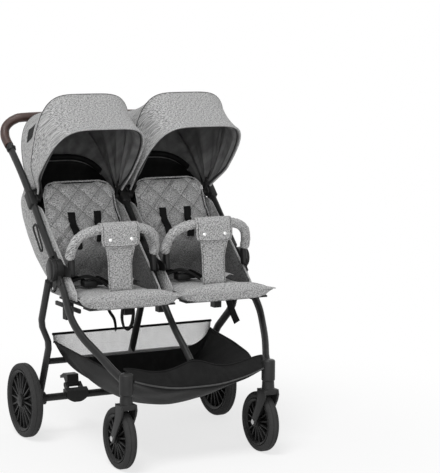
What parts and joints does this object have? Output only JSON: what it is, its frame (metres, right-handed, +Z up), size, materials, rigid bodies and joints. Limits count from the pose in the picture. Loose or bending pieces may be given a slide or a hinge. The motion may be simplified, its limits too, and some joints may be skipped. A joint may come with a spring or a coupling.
{
  "type": "side by side double stroller",
  "caption": "Side-by-side double stroller with grey canopies, quilted seats, bumper bars, folding dark frame, swivel front wheels and a sling basket.",
  "frame": {"origin": "on the floor, below the middle of the object's box", "axes": "+Z up, -Y the way the stroller faces, +X to the right as seen from in front"},
  "size_m": [0.736, 0.839, 1.1001],
  "materials": {
    "frame_tube": "satin charcoal powder coat",
    "black_plastic": "matte moulded black",
    "wheel_plastic": "matte moulded black",
    "tyre": "matt foam rubber",
    "steel": "plain steel",
    "grip_leather": "dark brown stitched cover",
    "grey_fabric": "grey melange weave",
    "black_fabric": "black woven nylon",
    "mesh": "light open mesh"
  },
  "bodies": {
    "rear_frame": {"rear_leg_left": "frame_tube", "rear_leg_right": "frame_tube", "rear_leg_centre": "frame_tube", "rear_axle_beam": "frame_tube", "rear_crossbar": "frame_tube", "axle_brackets": "black_plastic", "pivot_pins": "steel", "hub_covers": "black_plastic", "brake_housing": "black_plastic", "basket_tub": "black_fabric", "basket_mesh": "mesh"},
    "brake_pedal": {"brake_pedal": "black_plastic"},
    "rear_wheel_left": {"rear_tyre_left": "tyre", "rear_rim_left": "wheel_plastic"},
    "rear_wheel_right": {"rear_tyre_right": "tyre", "rear_rim_right": "wheel_plastic"},
    "front_frame": {"front_leg_left": "frame_tube", "front_leg_right": "frame_tube", "front_leg_centre": "frame_tube", "front_crossbar": "frame_tube", "swivel_housings": "black_plastic"},
    "caster_left": {"fork_left": "black_plastic", "wheel_bolt_left": "steel"},
    "caster_right": {"fork_right": "black_plastic", "wheel_bolt_right": "steel"},
    "front_wheel_left": {"front_tyre_left": "tyre", "front_rim_left": "wheel_plastic"},
    "front_wheel_right": {"front_tyre_right": "tyre", "front_rim_right": "wheel_plastic"},
    "push_frame": {"push_tube_left": "frame_tube", "push_tube_right": "frame_tube", "push_tube_centre": "frame_tube", "handle_grip": "grip_leather", "canopy_clips": "black_plastic", "seat_hangers": "black_plastic", "hinge_rods": "steel", "rear_bows": "frame_tube", "seat_tub_left": "grey_fabric", "seat_tub_right": "grey_fabric"},
    "canopy_left": {"mid_bow_left": "frame_tube", "canopy_left": "grey_fabric"},
    "canopy_right": {"mid_bow_right": "frame_tube", "canopy_right": "grey_fabric"},
    "visor_left": {"front_bow_left": "frame_tube"},
    "visor_right": {"front_bow_right": "frame_tube"},
    "backrest_left": {"back_board_left": "black_plastic", "back_pad_left": "grey_fabric"},
    "backrest_right": {"back_board_right": "black_plastic", "back_pad_right": "grey_fabric"},
    "bumper": {"bumper_posts": "black_plastic", "bumper_covers": "grey_fabric", "crotch_flaps": "grey_fabric"},
    "seat_base": {"seat_boards": "black_plastic", "seat_blocks": "black_plastic", "seat_pad_left": "grey_fabric", "seat_pad_right": "grey_fabric"},
    "legrest_left": {"legrest_board_left": "black_plastic", "legrest_pad_left": "grey_fabric"},
    "legrest_right": {"legrest_board_right": "black_plastic", "legrest_pad_right": "grey_fabric"}
  },
  "joints": [
    {"name": "push_fold", "type": "hinge", "parent": "rear_frame", "child": "push_frame", "pos_m": [0, -0.03946, 0.57], "axis": [-1, 0, 0], "range_deg": [0, 85], "deforming": ["seat_tub_left", "seat_tub_right", "basket_tub", "basket_mesh", "crotch_flaps", "canopy_left", "canopy_right"]},
    {"name": "front_fold", "type": "hinge", "parent": "rear_frame", "child": "front_frame", "pos_m": [0, -0.03946, 0.57], "axis": [-1, 0, 0], "range_deg": [-42, 0]},
    {"name": "seat_fold", "type": "hinge", "parent": "push_frame", "child": "seat_base", "pos_m": [0, 0.02054, 0.501], "axis": [-1, 0, 0], "range_deg": [0, 16], "deforming": ["crotch_flaps"]},
    {"name": "bumper_fold", "type": "hinge", "parent": "push_frame", "child": "bumper", "pos_m": [0, -0.10946, 0.566], "axis": [-1, 0, 0], "range_deg": [0, 25]},
    {"name": "recline_left", "type": "hinge", "parent": "push_frame", "child": "backrest_left", "pos_m": [-0.162, 0.02054, 0.501], "axis": [-1, 0, 0], "range_deg": [0, 45], "deforming": ["seat_tub_left"]},
    {"name": "legrest_fold_left", "type": "hinge", "parent": "seat_base", "child": "legrest_left", "pos_m": [-0.162, -0.19346, 0.4734], "axis": [1, 0, 0], "range_deg": [0, 60]},
    {"name": "canopy_fold_left", "type": "hinge", "parent": "push_frame", "child": "canopy_left", "pos_m": [-0.162, 0.16026, 0.76625], "axis": [-1, 0, 0], "range_deg": [0, 30], "deforming": ["canopy_left"]},
    {"name": "visor_fold_left", "type": "hinge", "parent": "canopy_left", "child": "visor_left", "pos_m": [-0.162, 0.16026, 0.76625], "axis": [-1, 0, 0], "range_deg": [0, 13.5], "deforming": ["canopy_left"]},
    {"name": "recline_right", "type": "hinge", "parent": "push_frame", "child": "backrest_right", "pos_m": [0.162, 0.02054, 0.501], "axis": [-1, 0, 0], "range_deg": [0, 45], "deforming": ["seat_tub_right"]},
    {"name": "legrest_fold_right", "type": "hinge", "parent": "seat_base", "child": "legrest_right", "pos_m": [0.162, -0.19346, 0.4734], "axis": [1, 0, 0], "range_deg": [0, 60]},
    {"name": "canopy_fold_right", "type": "hinge", "parent": "push_frame", "child": "canopy_right", "pos_m": [0.162, 0.16026, 0.76625], "axis": [-1, 0, 0], "range_deg": [0, 30], "deforming": ["canopy_right"]},
    {"name": "visor_fold_right", "type": "hinge", "parent": "canopy_right", "child": "visor_right", "pos_m": [0.162, 0.16026, 0.76625], "axis": [-1, 0, 0], "range_deg": [0, 13.5], "deforming": ["canopy_right"]},
    {"name": "brake_press", "type": "hinge", "parent": "rear_frame", "child": "brake_pedal", "pos_m": [-0.172, 0.18654, 0.15], "axis": [-1, 0, 0], "range_deg": [0, 20]},
    {"name": "swivel_left", "type": "hinge", "parent": "front_frame", "child": "caster_left", "pos_m": [-0.242, -0.37046, 0.26], "axis": [0, 0, 1], "continuous": true},
    {"name": "front_roll_left", "type": "hinge", "parent": "caster_left", "child": "front_wheel_left", "pos_m": [-0.242, -0.32546, 0.094], "axis": [1, 0, 0], "continuous": true},
    {"name": "rear_roll_left", "type": "hinge", "parent": "rear_frame", "child": "rear_wheel_left", "pos_m": [-0.35, 0.16254, 0.12], "axis": [1, 0, 0], "continuous": true},
    {"name": "swivel_right", "type": "hinge", "parent": "front_frame", "child": "caster_right", "pos_m": [0.242, -0.37046, 0.26], "axis": [0, 0, 1], "continuous": true},
    {"name": "front_roll_right", "type": "hinge", "parent": "caster_right", "child": "front_wheel_right", "pos_m": [0.242, -0.32546, 0.094], "axis": [1, 0, 0], "continuous": true},
    {"name": "rear_roll_right", "type": "hinge", "parent": "rear_frame", "child": "rear_wheel_right", "pos_m": [0.35, 0.16254, 0.12], "axis": [1, 0, 0], "continuous": true}
  ],
  "couplings": [
    {"joint": "front_fold", "follows": "push_fold", "ratio": -0.49412},
    {"joint": "seat_fold", "follows": "push_fold", "ratio": 0.18824},
    {"joint": "bumper_fold", "follows": "push_fold", "ratio": 0.29412},
    {"joint": "visor_fold_left", "follows": "canopy_fold_left", "ratio": 0.45},
    {"joint": "visor_fold_right", "follows": "canopy_fold_right", "ratio": 0.45}
  ]
}
